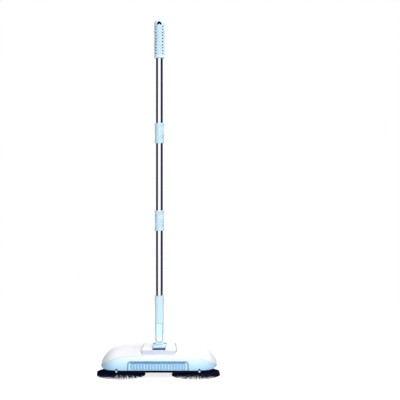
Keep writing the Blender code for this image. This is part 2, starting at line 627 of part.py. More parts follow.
def build_grip(swing):
    dome = [(6.2 + (GRIP_R - 6.2) * cos(radians(angle)), GRIP_TOP - 9.0 + 9.0 * sin(radians(angle)))
            for angle in (0.0, 25.0, 45.0, 62.0, 76.0, 90.0)]
    outline = [(SLEEVE_R, GRIP_BOTTOM), (14.6, GRIP_BOTTOM), (15.0, GRIP_BOTTOM + 1.2),
               (GRIP_R, GRIP_BOTTOM + 4.5)]
    outline += dome + [(0.0, GRIP_TOP), (0.0, 930.0), (SLEEVE_R, 930.0)]
    grip = add_piece("handle_grip", lathe(outline, centre=(0.0, POLE_Y)), "blue_plastic", swing, True)
    right = [(x, GRIP_TOP - depth) for x, depth in HANGING_SLOT]
    arch = right + [(-x, z) for x, z in right[:0:-1]]
    add_boolean(grip, "DIFFERENCE", plate([arch], POLE_Y - 20.0, POLE_Y + 4.0, "Y"))


def main():
    clear_scene()
    build_top_cover()
    build_front_fascia()
    build_handle_mount()
    build_chassis_tray()
    build_clips()
    build_bearings()
    build_gear_carriers()
    build_drawer(pivot("drawer_slide", (0.0, POLE_Y - HEAD_FRONT, 31.0)))
    build_axle_group(pivot("axle_spin", (0.0, AXLE_Y, AXLE_Z)))
    build_roller(pivot("roller_spin", (0.0, ROLLER_Y, AXLE_Z)))
    for side, label in ((-1, "left"), (1, "right")):
        x = side * CLUSTER_X
        build_transfer(label, side, pivot(f"transfer_spin_{label}", (x, AXLE_Y, GEAR_Z)))
        build_idler(label, side, pivot(f"idler_spin_{label}", (x, IDLER_Y, GEAR_Z)))
        build_brush(label, side, pivot(f"brush_spin_{label}", (x, BRUSH_Y, HUB_BOTTOM)))
    tilt = pivot("handle_tilt", (0.0, POLE_Y, TILT_Z))
    swing = pivot("handle_swing", (0.0, POLE_Y, SWING_Z), tilt)
    build_pivot_block(tilt)
    build_socket(swing)
    build_pole(swing)
    build_grip(swing)


main()
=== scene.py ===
import random
from math import cos, exp, pi, radians, sin, tau

import bmesh
import bpy
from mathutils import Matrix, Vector


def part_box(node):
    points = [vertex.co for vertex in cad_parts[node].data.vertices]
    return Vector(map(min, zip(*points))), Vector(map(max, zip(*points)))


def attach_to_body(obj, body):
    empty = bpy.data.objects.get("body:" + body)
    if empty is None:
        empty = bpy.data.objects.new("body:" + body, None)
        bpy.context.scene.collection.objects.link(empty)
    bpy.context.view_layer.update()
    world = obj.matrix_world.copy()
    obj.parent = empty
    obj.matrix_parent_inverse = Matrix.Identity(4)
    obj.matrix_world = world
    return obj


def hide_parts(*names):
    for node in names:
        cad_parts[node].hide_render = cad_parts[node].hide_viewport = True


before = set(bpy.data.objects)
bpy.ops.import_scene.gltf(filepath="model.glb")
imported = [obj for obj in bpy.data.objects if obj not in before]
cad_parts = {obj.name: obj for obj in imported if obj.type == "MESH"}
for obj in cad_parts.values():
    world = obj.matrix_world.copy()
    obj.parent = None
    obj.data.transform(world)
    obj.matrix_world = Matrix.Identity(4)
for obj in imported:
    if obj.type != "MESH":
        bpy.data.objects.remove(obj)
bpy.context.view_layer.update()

MM = 0.001


# --- sizes read from the frame, in millimetres ----------------------------------
def span(node):
    """Lowest and highest corner of a CAD node, in millimetres."""
    low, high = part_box(node)
    return [value / MM for value in low], [value / MM for value in high]


def middle(node, axis):
    low, high = span(node)
    return (low[axis] + high[axis]) / 2


POLE_Y = middle("pole_tube_middle", 1)
SIDES = (("left", -1), ("right", 1))
TUBE_BORE = 9.8         # radius of the hole for the tube, in the connectors and the grip
AXLE_BORE = 2.8
SPINDLE_BORE = 3.3

# --- hood, the same surface as the CAD cover and fascia --------------------------
TIP_CUT = 0.988
WALL = 2.5
SEAM = 0.3
RIM_Z = span("top_cover")[0][2]
HEAD_HALF = span("top_cover")[1][0] / TIP_CUT
HEAD_FRONT = 90.0
HEAD_BACK = 97.0
HOOD_TOP = span("top_cover")[1][2]
CREASE_Z = span("front_fascia")[1][2] + SEAM
CREASE_LEAN = 0.935
APEX_BACK = 40.0


def taper(share, power, root):
    return max(0.0, 1.0 - abs(share) ** power) ** (1.0 / root)


def front_y(x, inset=0.0):
    return POLE_Y - (HEAD_FRONT - inset) * taper(x / (HEAD_HALF - inset), 9.0, 1.6)


def back_y(x, inset=0.0):
    return POLE_Y + (HEAD_BACK - inset) * taper(x / (HEAD_HALF - inset), 2.6, 2.6)


def crease_point(x, inset=0.0):
    lean = POLE_Y + (front_y(x, inset) - POLE_Y) * CREASE_LEAN
    height = RIM_Z + (CREASE_Z - RIM_Z - inset * 0.4) * taper(x / (HEAD_HALF - inset), 3.0, 1.6)
    return lean, height


def apex_point(x, inset=0.0):
    share = x / (HEAD_HALF - inset)
    height = RIM_Z + (HOOD_TOP - RIM_Z - inset) * taper(share, 6.0, 1.6)
    return POLE_Y + APEX_BACK * taper(share, 2.0, 1.0), height


def cover_section(x, inset, rise_steps, fall_steps):
    """Side profile of the white cover at one x: crease, apex, back rim."""
    crease_y, crease_z = crease_point(x, inset)
    apex_y, apex_z = apex_point(x, inset)
    rim_y = back_y(x, inset)
    points = []
    for k in range(rise_steps):
        share = k / rise_steps
        points.append((crease_y + (apex_y - crease_y) * share,
                       crease_z + (apex_z - crease_z) * sin(share * pi / 2) ** 1.15))
    for k in range(fall_steps + 1):
        angle = pi / 2 * k / fall_steps
        points.append((apex_y + (rim_y - apex_y) * sin(angle),
                       RIM_Z + (apex_z - RIM_Z) * max(0.0, cos(angle)) ** 0.6))
    return points


def fascia_section(x, inset, steps):
    """Side profile of the blue fascia at one x: lower edge up to the crease."""
    crease_y, crease_z = crease_point(x, inset)
    crease_z = max(crease_z - SEAM, RIM_Z + 0.5)
    edge_y = front_y(x, inset)
    return [(edge_y + (crease_y - edge_y) * (k / steps) ** 1.6, RIM_Z + (crease_z - RIM_Z) * k / steps)
            for k in range(steps + 1)]


def shell(section, count, *steps):
    """Closed wall between an outer skin and the same skin set in by WALL."""
    bm = bmesh.new()
    rows = []
    for k in range(count + 1):
        station = sin(pi / 2 * (2 * k / count - 1))
        ring = []
        for inset in (0.0, WALL):
            x = station * TIP_CUT * (HEAD_HALF - inset)
            skin = [bm.verts.new((x, y, z)) for y, z in section(x, inset, *steps)]
            ring += skin if not inset else skin[::-1]
        rows.append(ring)
    for first, second in zip(rows, rows[1:]):
        for k in range(len(first)):
            bm.faces.new((first[k - 1], first[k], second[k], second[k - 1]))
    half = len(rows[0]) // 2
    for ring in (rows[0], rows[-1]):
        for k in range(half - 1):
            bm.faces.new((ring[k], ring[k + 1], ring[-2 - k], ring[-1 - k]))
    return bm


# --- mesh helpers -----------------------------------------------------------------
AXES = {
    "Z": lambda a, b, h: (a, b, h),
    "X": lambda a, b, h: (h, a, b),
    "Y": lambda a, b, h: (a, h, b),
}


def circle(radius, centre=(0.0, 0.0), sides=48):
    return [(centre[0] + radius * cos(tau * k / sides), centre[1] + radius * sin(tau * k / sides))
            for k in range(sides)]


def arc(centre, radius, start, end, steps):
    return [(centre[0] + radius * cos(radians(start + (end - start) * k / steps)),
             centre[1] + radius * sin(radians(start + (end - start) * k / steps)))
            for k in range(steps + 1)]


def rounded(a0, a1, b0, b1, radius, steps=5):
    points = []
    for a, b, start in ((a1 - radius, b0 + radius, -90.0), (a1 - radius, b1 - radius, 0.0),
                        (a0 + radius, b1 - radius, 90.0), (a0 + radius, b0 + radius, 180.0)):
        points += arc((a, b), radius, start, start + 90.0, steps)
    return points


def plate(loops, low, high, axis="Z", bm=None):
    """Extrude an outline (first loop) with holes (other loops) along an axis."""
    bm = bm or bmesh.new()
    edges = []
    for loop in loops:
        verts = [bm.verts.new(AXES[axis](a, b, low)) for a, b in loop]
        edges += [bm.edges.new((verts[k - 1], verts[k])) for k in range(len(verts))]
    filled = bmesh.ops.triangle_fill(bm, edges=edges, use_beauty=True)
    faces = [item for item in filled["geom"] if isinstance(item, bmesh.types.BMFace)]
    grown = bmesh.ops.extrude_face_region(bm, geom=faces, use_keep_orig=True)
    top = [item for item in grown["geom"] if isinstance(item, bmesh.types.BMVert)]
    bmesh.ops.translate(bm, vec=AXES[axis](0.0, 0.0, high - low), verts=top)
    return bm


def lathe(profile, axis="Z", centre=(0.0, 0.0), sides=96):
    """Turn a closed outline of (radius, height) points about an axis."""
    bm = bmesh.new()
    rings = []
    for k in range(sides):
        angle = tau * k / sides
        rings.append([bm.verts.new(AXES[axis](centre[0] + r * cos(angle), centre[1] + r * sin(angle), h))
                      for r, h in profile])
    for k in range(sides):
        for j in range(len(profile)):
            if profile[j - 1][0] or profile[j][0]:
                bm.faces.new((rings[k - 1][j - 1], rings[k - 1][j], rings[k][j], rings[k][j - 1]))
    bmesh.ops.remove_doubles(bm, verts=bm.verts, dist=1e-4)
    return bm


def to_object(name, bm, materials, smooth_angle=35.0):
    bmesh.ops.recalc_face_normals(bm, faces=bm.faces)
    bmesh.ops.scale(bm, vec=(MM, MM, MM), verts=bm.verts)
    mesh = bpy.data.meshes.new(name)
    bm.to_mesh(mesh)
    bm.free()
    mesh.shade_smooth()
    mesh.set_sharp_from_angle(angle=radians(smooth_angle))
    for item in materials:
        mesh.materials.append(item)
    piece = bpy.data.objects.new(name, mesh)
    bpy.context.scene.collection.objects.link(piece)
    return piece


def add_bevel(piece, width, segments=2, angle=30.0):
    bevel = piece.modifiers.new("Edges", "BEVEL")
    bevel.width = width * MM
    bevel.segments = segments
    bevel.limit_method = "ANGLE"
    bevel.angle_limit = radians(angle)


def carve(piece, bm, materials):
    """Cut, applied at once, so the piece keeps only its final mesh."""
    tool = to_object(f"{piece.name}_tool", bm, materials)
    step = piece.modifiers.new("Carve", "BOOLEAN")
    step.operation = "DIFFERENCE"
    step.object = tool
    step.material_mode = "TRANSFER"
    bpy.context.view_layer.update()
    cut = bpy.data.meshes.new_from_object(piece.evaluated_get(bpy.context.evaluated_depsgraph_get()))
    piece.modifiers.clear()
    piece.data = cut
    bpy.data.objects.remove(tool, do_unlink=True)


def attach(piece, body, slot, *nodes):
    """The piece rides on a body and stands for CAD nodes, which it hides. The slot argument is not used."""
    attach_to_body(piece, body)
    if nodes:
        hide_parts(*nodes)


# --- materials --------------------------------------------------------------------
class Nodes:
    """Small helper around one material's node tree."""

    def __init__(self, name):
        self.material = bpy.data.materials.new(name)
        self.material.use_nodes = True
        self.tree = self.material.node_tree
        self.shader = self.tree.nodes["Principled BSDF"]
        self.place = self.tree.nodes.new("ShaderNodeTexCoord").outputs["Object"]

    def set(self, **values):
        for key, value in values.items():
            self.shader.inputs[key.replace("_", " ")].default_value = value

    def link(self, source, target):
        self.tree.links.new(source, target)

    def noise(self, scale, detail=3.0, stretch=None):
        place = self.place
        if stretch:
            mapping = self.tree.nodes.new("ShaderNodeMapping")
            mapping.inputs["Scale"].default_value = stretch
            self.link(place, mapping.inputs["Vector"])
            place = mapping.outputs["Vector"]
        node = self.tree.nodes.new("ShaderNodeTexNoise")
        node.inputs["Scale"].default_value = scale
        node.inputs["Detail"].default_value = detail
        self.link(place, node.inputs["Vector"])
        return node.outputs["Fac"]

    def ramp(self, source, stops):
        node = self.tree.nodes.new("ShaderNodeValToRGB")
        elements = node.color_ramp.elements
        while len(elements) < len(stops):
            elements.new(0.5)
        for element, (spot, colour) in zip(elements, stops):
            element.position = spot
            element.color = colour
        self.link(source, node.inputs["Fac"])
        return node.outputs["Color"]

    def between(self, source, low, high):
        node = self.tree.nodes.new("ShaderNodeMapRange")
        node.inputs["To Min"].default_value = low
        node.inputs["To Max"].default_value = high
        self.link(source, node.inputs["Value"])
        return node.outputs["Result"]

    def bump(self, source, strength, distance):
        node = self.tree.nodes.new("ShaderNodeBump")
        node.inputs["Strength"].default_value = strength
        node.inputs["Distance"].default_value = distance
        self.link(source, node.inputs["Height"])
        self.link(node.outputs["Normal"], self.shader.inputs["Normal"])

    def height(self, low, high):
        """0 at the lower world height and 1 at the upper one, in millimetres."""
        parts = self.tree.nodes.new("ShaderNodeSeparateXYZ")
        self.link(self.place, parts.inputs["Vector"])
        node = self.tree.nodes.new("ShaderNodeMapRange")
        node.inputs["From Min"].default_value = low * MM
        node.inputs["From Max"].default_value = high * MM
        self.link(parts.outputs["Z"], node.inputs["Value"])
        return node.outputs["Result"]


def shade(colour, factor):
    return tuple(min(1.0, value * factor) for value in colour[:3]) + (1.0,)


def plastic(name, colour, roughness, variation=0.05, grain=0.12, coat=0.0, gloss=0.5):
    """Moulded plastic: slight flow marks in the colour, satin patches, fine moulded grain."""
    nodes = Nodes(name)
    flow = nodes.noise(9.0, 2.0, (1.0, 1.0, 0.35))
    stops = ((0.3, shade(colour, 1.0 - variation)), (0.7, shade(colour, 1.0 + variation)))
    nodes.link(nodes.ramp(flow, stops), nodes.shader.inputs["Base Color"])
    satin = nodes.between(nodes.noise(55.0), roughness - 0.05, roughness + 0.07)
    nodes.link(satin, nodes.shader.inputs["Roughness"])
    nodes.bump(nodes.noise(1400.0, 2.0), grain, 0.00008)
    nodes.set(Coat_Weight=coat, Coat_Roughness=0.08, IOR=1.49)
    nodes.shader.inputs["Specular IOR Level"].default_value = gloss
    return nodes.material


def fascia_plastic():
    """Light blue, darker towards the lower edge and whiter towards the seam with the cover: painted shade low
    down and a painted sheen near the crease.
    """
    nodes = Nodes("fascia_painted_shade")
    # height ramp from rim to crease: painted shade at the bottom, painted sheen at the top
    shade_rise = nodes.height(RIM_Z, CREASE_Z)
    nodes.link(nodes.ramp(shade_rise, ((0.0, (0.36, 0.62, 0.84, 1.0)), (0.45, (0.54, 0.76, 0.92, 1.0)),
                                 (1.0, (0.82, 0.88, 0.95, 1.0)))), nodes.shader.inputs["Base Color"])
    nodes.link(nodes.between(nodes.noise(60.0), 0.20, 0.30), nodes.shader.inputs["Roughness"])
    nodes.bump(nodes.noise(1400.0, 2.0), 0.10, 0.00008)
    nodes.set(Coat_Weight=0.25, Coat_Roughness=0.08, IOR=1.49)
    return nodes.material


def chrome():
    """Polished steel tube with faint lengthwise draw lines."""
    nodes = Nodes("chrome_steel")
    lines = nodes.noise(900.0, 2.0, (1.0, 1.0, 0.01))
    nodes.link(nodes.ramp(lines, ((0.3, (0.80, 0.81, 0.84, 1.0)), (0.7, (0.90, 0.90, 0.92, 1.0)))),
               nodes.shader.inputs["Base Color"])
    nodes.link(nodes.between(lines, 0.05, 0.11), nodes.shader.inputs["Roughness"])
    nodes.bump(lines, 0.04, 0.00005)
    nodes.set(Metallic=1.0)
    return nodes.material


def steel():
    nodes = Nodes("plain_steel")
    lines = nodes.noise(500.0, 3.0, (0.05, 1.0, 1.0))
    nodes.link(nodes.ramp(lines, ((0.3, (0.42, 0.42, 0.44, 1.0)), (0.7, (0.62, 0.62, 0.64, 1.0)))),
               nodes.shader.inputs["Base Color"])
    nodes.link(nodes.between(lines, 0.24, 0.38), nodes.shader.inputs["Roughness"])
    nodes.bump(lines, 0.10, 0.00005)
    nodes.set(Metallic=1.0)
    return nodes.material


def rubber():
    nodes = Nodes("rubber")
    dust = nodes.noise(120.0, 4.0)
    nodes.link(nodes.ramp(dust, ((0.35, (0.018, 0.018, 0.020, 1.0)), (0.8, (0.055, 0.053, 0.050, 1.0)))),
               nodes.shader.inputs["Base Color"])
    nodes.link(nodes.between(dust, 0.70, 0.90), nodes.shader.inputs["Roughness"])
    nodes.bump(nodes.noise(800.0, 3.0), 0.3, 0.0002)
    return nodes.material


def nylon():
    """Dark filament with a little blue in it, paler in random patches."""
    nodes = Nodes("bristle")
    hue = nodes.noise(260.0, 2.0)
    nodes.link(nodes.ramp(hue, ((0.3, (0.002, 0.002, 0.012, 1.0)), (0.62, (0.005, 0.006, 0.030, 1.0)),
                                (0.85, (0.020, 0.024, 0.080, 1.0)))), nodes.shader.inputs["Base Color"])
    nodes.link(nodes.between(hue, 0.50, 0.66), nodes.shader.inputs["Roughness"])
    nodes.bump(nodes.noise(2600.0, 1.0), 0.1, 0.00005)
    nodes.shader.inputs["Specular IOR Level"].default_value = 0.03
    return nodes.material


BLUE = (0.56, 0.76, 0.88)
LOOKS = {
    "blue_plastic": plastic("blue_plastic", BLUE, 0.28, 0.03, 0.03, coat=0.25),
    # paler blue for the socket's front panel: a painted highlight
    "pale_blue_painted_highlight": plastic("pale_blue_painted_highlight", (0.66, 0.86, 0.95), 0.26, 0.03, coat=0.25),
    "grip_blue": plastic("grip_blue", (0.66, 0.84, 0.94), 0.42, 0.05, 0.1),
    "white_plastic": plastic("white_plastic", (0.85, 0.86, 0.90), 0.20, 0.012, 0.08, coat=0.35),
    # dark slate for the strip under the pivot barrel: painted shade
    "slate_painted_shade": plastic("slate_painted_shade", (0.10, 0.20, 0.38), 0.40, 0.05),
    "cradle_white": plastic("cradle_white", (0.94, 0.94, 0.95), 0.22, 0.01, 0.05, coat=0.35),
    # lavender-grey for the cradle's sloping front face: painted shade
    "ramp_painted_shade": plastic("ramp_painted_shade", (0.52, 0.54, 0.62), 0.5, 0.03, 0.3),
    # dark grey-blue for seam walls: painted shade
    "seam_painted_shade": plastic("seam_painted_shade", (0.20, 0.24, 0.33), 0.6, 0.05),
    # darker blues for the grip's grooves and dimples: painted shade in the hollows
    "groove_painted_shade": plastic("groove_painted_shade", (0.46, 0.65, 0.80), 0.5, 0.05),
    # dark blue for the socket panel's rim lip: painted shade
    "lip_painted_shade": plastic("lip_painted_shade", (0.22, 0.40, 0.58), 0.4, 0.04),
    "dimple_painted_shade": plastic("dimple_painted_shade", (0.14, 0.28, 0.42), 0.5, 0.04),
    "panel_edge": plastic("panel_edge", (0.50, 0.72, 0.90), 0.3, 0.04),
    # drawer box blue, also used as painted shade in the rib pocket
    "drawer_plastic": plastic("drawer_plastic", (0.20, 0.42, 0.66), 0.30, 0.05, coat=0.2),
    "rib_blue": plastic("rib_blue", (0.40, 0.64, 0.85), 0.28, 0.05, coat=0.2),
    # near-black for slot and gap walls: painted shade
    "slot_painted_shade": plastic("slot_painted_shade", (0.03, 0.07, 0.14), 0.5, 0.1),
    # black for the hanging hole's walls: painted shade
    "hole_painted_shade": plastic("hole_painted_shade", (0.003, 0.003, 0.010), 0.7, 0.1),
    # dark blue for the bead round the drawer: painted shade of the gap
    "frame_painted_shade": plastic("frame_painted_shade", (0.13, 0.28, 0.46), 0.35, 0.05),
    "black_plastic": plastic("black_plastic", (0.002, 0.005, 0.014), 0.50, 0.2, 0.25, gloss=0.12),
    "gear_plastic": plastic("gear_plastic", (0.80, 0.78, 0.70), 0.38, 0.04, 0.1),
    "chrome_steel": chrome(),
    "plain_steel": steel(),
    "rubber": rubber(),
    "bristle": nylon(),
    "fascia": fascia_plastic(),
}


# --- room, light and camera ---------------------------------------------------------
FLOOR_GLOW = 0.78       # only camera rays see it: the floor looks white, and nothing is lit from below
AMBIENT = 0.30
CAMERA_X = 0.1116
CAMERA_BACK = 2.450
CAMERA_Z = 0.471
LENS = 80.2


def build_camera():
    data = bpy.data.cameras.new("camera")
    data.lens = LENS
    data.sensor_width = 36.0
    camera = bpy.data.objects.new("camera", data)
    camera.location = (CAMERA_X, POLE_Y * MM - CAMERA_BACK, CAMERA_Z)
    camera.rotation_euler = (pi / 2, 0.0, 0.0)
    bpy.context.scene.collection.objects.link(camera)
    bpy.context.scene.camera = camera


def build_floor():
    bm = bmesh.new()
    bmesh.ops.create_grid(bm, x_segments=8, y_segments=8, size=1600.0)
    floor = to_object("floor", bm, [])
    nodes = Nodes("floor_paper")
    tone = nodes.noise(6.0, 2.0)
    nodes.link(nodes.ramp(tone, ((0.3, (0.50, 0.50, 0.505, 1.0)), (0.7, (0.52, 0.52, 0.52, 1.0)))),
               nodes.shader.inputs["Base Color"])
    nodes.set(Roughness=0.9)
    path = nodes.tree.nodes.new("ShaderNodeLightPath")
    lift = nodes.tree.nodes.new("ShaderNodeMath")
    lift.operation = "MULTIPLY"
    lift.inputs[1].default_value = FLOOR_GLOW
    nodes.link(path.outputs["Is Camera Ray"], lift.inputs[0])
    nodes.link(lift.outputs["Value"], nodes.shader.inputs["Emission Strength"])
    nodes.shader.inputs["Emission Color"].default_value = (1.0, 1.0, 1.0, 1.0)
    nodes.shader.inputs["Specular IOR Level"].default_value = 0.1
    floor.data.materials.append(nodes.material)


def build_world():
    """White room. Mirror-like surfaces see soft boxes in front, behind and above, with dark cards between."""
    world = bpy.data.worlds.new("studio")
    bpy.context.scene.world = world
    world.use_nodes = True
    tree = world.node_tree
    tree.nodes.clear()
    new = tree.nodes.new
    link = tree.links.new
    coordinate = new("ShaderNodeTexCoord")
    parts = new("ShaderNodeSeparateXYZ")
    link(coordinate.outputs["Generated"], parts.inputs["Vector"])
    facing = new("ShaderNodeMapRange")
    facing.inputs["From Min"].default_value = -1.0
    link(parts.outputs["Y"], facing.inputs["Value"])
    boxes = new("ShaderNodeValToRGB")
    stops = ((0.0, (1.3, 1.3, 1.3, 1.0)), (0.12, (1.0, 1.0, 1.05, 1.0)),
             (0.18, (0.008, 0.010, 0.030, 1.0)), (0.5, (0.020, 0.024, 0.045, 1.0)),
             (0.93, (0.008, 0.010, 0.030, 1.0)), (0.98, (0.9, 0.9, 0.95, 1.0)))
    while len(boxes.color_ramp.elements) < len(stops):
        boxes.color_ramp.elements.new(0.5)
    for element, (spot, colour) in zip(boxes.color_ramp.elements, stops):
        element.position = spot
        element.color = colour
    link(facing.outputs["Result"], boxes.inputs["Fac"])
    above = new("ShaderNodeMapRange")
    above.inputs["From Min"].default_value = 0.35
    above.inputs["From Max"].default_value = 0.75
    link(parts.outputs["Z"], above.inputs["Value"])
    studio = new("ShaderNodeMix")
    studio.data_type = "RGBA"
    link(above.outputs["Result"], studio.inputs["Factor"])
    link(boxes.outputs["Color"], studio.inputs["A"])
    studio.inputs["B"].default_value = (1.0, 1.0, 1.0, 1.0)
    path = new("ShaderNodeLightPath")
    ambient = new("ShaderNodeBackground")
    ambient.inputs["Color"].default_value = (0.95, 0.97, 1.0, 1.0)
    ambient.inputs["Strength"].default_value = AMBIENT
    mirrored = new("ShaderNodeBackground")
    link(studio.outputs["Result"], mirrored.inputs["Color"])
    backdrop = new("ShaderNodeBackground")
    backdrop.inputs["Color"].default_value = (1.0, 1.0, 1.0, 1.0)
    first = new("ShaderNodeMixShader")
    link(path.outputs["Is Glossy Ray"], first.inputs["Fac"])
    link(ambient.outputs["Background"], first.inputs[1])
    link(mirrored.outputs["Background"], first.inputs[2])
    second = new("ShaderNodeMixShader")
    link(path.outputs["Is Camera Ray"], second.inputs["Fac"])
    link(first.outputs["Shader"], second.inputs[1])
    link(backdrop.outputs["Background"], second.inputs[2])
    output = new("ShaderNodeOutputWorld")
    link(second.outputs["Shader"], output.inputs["Surface"])


def build_lamp(name, place, size, power, aim=(0.0, 0.0, 0.25)):
    data = bpy.data.lights.new(name, "AREA")
    data.shape = "DISK"
    data.size = size
    data.energy = power
    lamp = bpy.data.objects.new(name, data)
    lamp.location = place
    lamp.rotation_euler = (Vector(aim) - Vector(place)).to_track_quat("-Z", "Y").to_euler()
    lamp.visible_glossy = False
    bpy.context.scene.collection.objects.link(lamp)


def build_room():
    build_camera()
    build_floor()
    build_world()
    build_lamp("key", (0.6, 0.3, 2.5), 1.5, 58.0)
    build_lamp("front_fill", (0.3, -2.8, 0.45), 0.9, 58.0)
    build_lamp("back_fill", (-0.6, 2.4, 1.2), 1.4, 16.0)
    bpy.context.scene.view_settings.view_transform = "Standard"


# --- CAD pieces taken over with softened edges -----------------------------------------
def refine(node, body, slot, bevel=0.25, segments=2, look=None, smooth_angle=32.0):
    """The CAD solid with its flat faces joined up again and its edges rounded."""
    bm = bmesh.new()
    bm.from_mesh(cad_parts[node].data)
    bmesh.ops.remove_doubles(bm, verts=bm.verts, dist=1e-6)
    bmesh.ops.dissolve_limit(bm, angle_limit=radians(1.0), verts=bm.verts, edges=bm.edges)
    bmesh.ops.scale(bm, vec=(1 / MM, 1 / MM, 1 / MM), verts=bm.verts)
    piece = to_object(f"{node}_finished", bm, [LOOKS[look or slot]], smooth_angle)
    if bevel:
        add_bevel(piece, bevel, segments, smooth_angle)
    attach(piece, body, slot, node)
    return piece


def build_mechanism():
    for label, _ in SIDES:
        refine(f"axle_bearing_{label}", "chassis", "gear_plastic")
        refine(f"roller_bracket_{label}", "chassis", "black_plastic")
        refine(f"gear_carrier_{label}", "chassis", "black_plastic")
        refine(f"idler_pin_{label}", "chassis", "plain_steel", 0.2)
        refine(f"spindle_bush_{label}", "chassis", "gear_plastic")
        refine(f"crown_wheel_{label}", "axle", "gear_plastic", 0.12, 1)
        refine(f"transfer_shaft_{label}", f"transfer_{label}", "plain_steel", 0.2)
        refine(f"crown_pinion_{label}", f"transfer_{label}", "gear_plastic", 0.12, 1)
        refine(f"transfer_gear_{label}", f"transfer_{label}", "gear_plastic", 0.15, 1)
        refine(f"idler_gear_{label}", f"idler_{label}", "gear_plastic", 0.15, 1)
        refine(f"brush_spindle_{label}", f"brush_{label}", "plain_steel", 0.3)
        refine(f"brush_gear_{label}", f"brush_{label}", "gear_plastic", 0.15, 1)
        refine(f"hood_clip_{label}", "chassis", "blue_plastic", 0.5, 3)
    refine("drive_axle", "axle", "plain_steel", 0.4)
    refine("axle_gear", "axle", "gear_plastic", 0.15, 1)
    refine("roller_gear", "roller", "gear_plastic", 0.15, 1)
    refine("roller_core", "roller", "black_plastic", 0.3)
    refine("tilt_pin", "chassis", "plain_steel", 0.3)
    refine("swing_pin", "pole", "plain_steel", 0.3)
    refine("chassis_tray", "chassis", "black_plastic", 0.4)
    refine("dust_drawer", "drawer", "drawer_plastic", 0.35)


def build_connector(name):
    """Threaded sleeve between two tubes: a waisted body with a collar at each end."""
    low, high = span(f"connector_{name}")
    bottom, top = low[2], high[2]
    radius = (high[0] - low[0]) / 2
    collar = [(TUBE_BORE, 0.0), (radius - 1.2, 0.0), (radius - 0.4, 0.3), (radius, 1.0), (radius, 2.6),
              (radius - 0.5, 3.0), (radius - 0.5, 3.4), (radius, 3.8), (radius, 8.0), (radius - 0.3, 8.8),
              (radius - 0.9, 9.2), (radius - 0.9, 10.0), (radius - 0.5, 10.6)]
    profile = [(r, bottom + h) for r, h in collar] + [(r, top - h) for r, h in collar[::-1]]
    body = lathe(profile, centre=(0.0, POLE_Y), sides=96)
    sleeve = to_object(f"connector_sleeve_{name}", body, [LOOKS["blue_plastic"]], 50.0)
    attach(sleeve, "pole", "blue_plastic", f"connector_{name}")


def build_panel_lip():
    """Raised lip that runs round the edge of the socket's front panel, coloured dark: painted shade along the
    rim.
    """
    low, high = span("socket_panel")
    rings = []
    for inset in (0.0, 1.0):
        half = high[0] - inset
        rings.append(arc((0.0, low[2] + high[0]), half, 180.0, 360.0, 24) + [(half, high[2] - inset),
                                                                             (-half, high[2] - inset)])
    ring = plate(rings, low[1] - 0.35, low[1] + 0.6, "Y")
    lip = to_object("socket_panel_lip", ring, [LOOKS["lip_painted_shade"]])
    add_bevel(lip, 0.2, 2)
    attach(lip, "pole", "blue_plastic")


def build_cradle():
    """White cradle of the pole; its sloping front face gets a matt lavender-grey material, painted shade."""
    cradle = refine("handle_mount", "chassis", "white_plastic", 0.8, 3, "cradle_white")
    cradle.data.materials.append(LOOKS["ramp_painted_shade"])
    # faces tilted up and forward take the lavender-grey: painted shade on the ramp
    for face in cradle.data.polygons:
        if face.normal.z > 0.5 and face.normal.y < -0.2:
            face.material_index = 1


def build_pivot():
    """Tilt barrel with a dark slate strip wrapped round its lower half: painted shade on the barrel's
    underside.
    """
    refine("pivot_block", "pivot", "blue_plastic", 0.6, 3)
    low, high = span("pivot_block")
    half = high[0]
    centre = (POLE_Y, middle("tilt_pin", 2))
    radius = centre[1] - low[2]
    outline = arc(centre, radius + 0.12, 190.0, 350.0, 24) + arc(centre, radius - 0.8, 350.0, 190.0, 24)
    wrap = plate([outline], -half + 0.2, half - 0.2, "X")
    strip = to_object("pivot_shade_strip", wrap, [LOOKS["slate_painted_shade"]], 40.0)
    attach(strip, "pivot", "blue_plastic")


def build_pole():
    for name in ("lower", "middle", "upper"):
        refine(f"pole_tube_{name}", "pole", "chrome_steel", 0.0)
    for name in ("lower", "upper"):
        build_connector(name)
        refine(f"connector_plug_{name}", "pole", "gear_plastic", 0.3)
    refine("pole_socket", "pole", "blue_plastic", 0.5, 3)
    # the front panel gets the paler blue: a painted highlight
    refine("socket_panel", "pole", "blue_plastic", 0.5, 3, "pale_blue_painted_highlight")
    build_panel_lip()
    refine("pivot_cap_front", "pole", "white_plastic", 0.9, 4)
    refine("pivot_cap_rear", "pole", "white_plastic", 0.7, 4)
    build_pivot()
    build_cradle()


# --- hood, fascia and drawer -------------------------------------------------------------
HOLE_SEAM = 0.9
# front, ridge and back line of the cradle: distance from the pole axis, half width
CRADLE_PLAN = ((-72.0, 42.0), (-48.0, 48.0), (35.0, 41.5))


def mount_hole():
    """Plan of the cradle where it comes through the cover, with a hair of clearance."""
    (front_y0, front_half), (ridge_y, ridge_half), (back_y0, back_half) = CRADLE_PLAN
    right = [(front_half + HOLE_SEAM, POLE_Y + front_y0 - HOLE_SEAM),
             (ridge_half + HOLE_SEAM * 1.2, POLE_Y + ridge_y),
             (back_half + HOLE_SEAM, POLE_Y + back_y0 + HOLE_SEAM)]
    return right + [(-x, y) for x, y in right[::-1]]


def build_cover():
    cover = to_object("hood_cover", shell(cover_section, 96, 16, 26), [LOOKS["white_plastic"]], 40.0)
    # the walls of the hole round the cradle take dark grey: painted shade in the seam
    carve(cover, plate([mount_hole()], 40.0, 90.0), [LOOKS["seam_painted_shade"]])
    add_bevel(cover, 0.3, 2, 50.0)
    attach(cover, "chassis", "white_plastic", "top_cover")


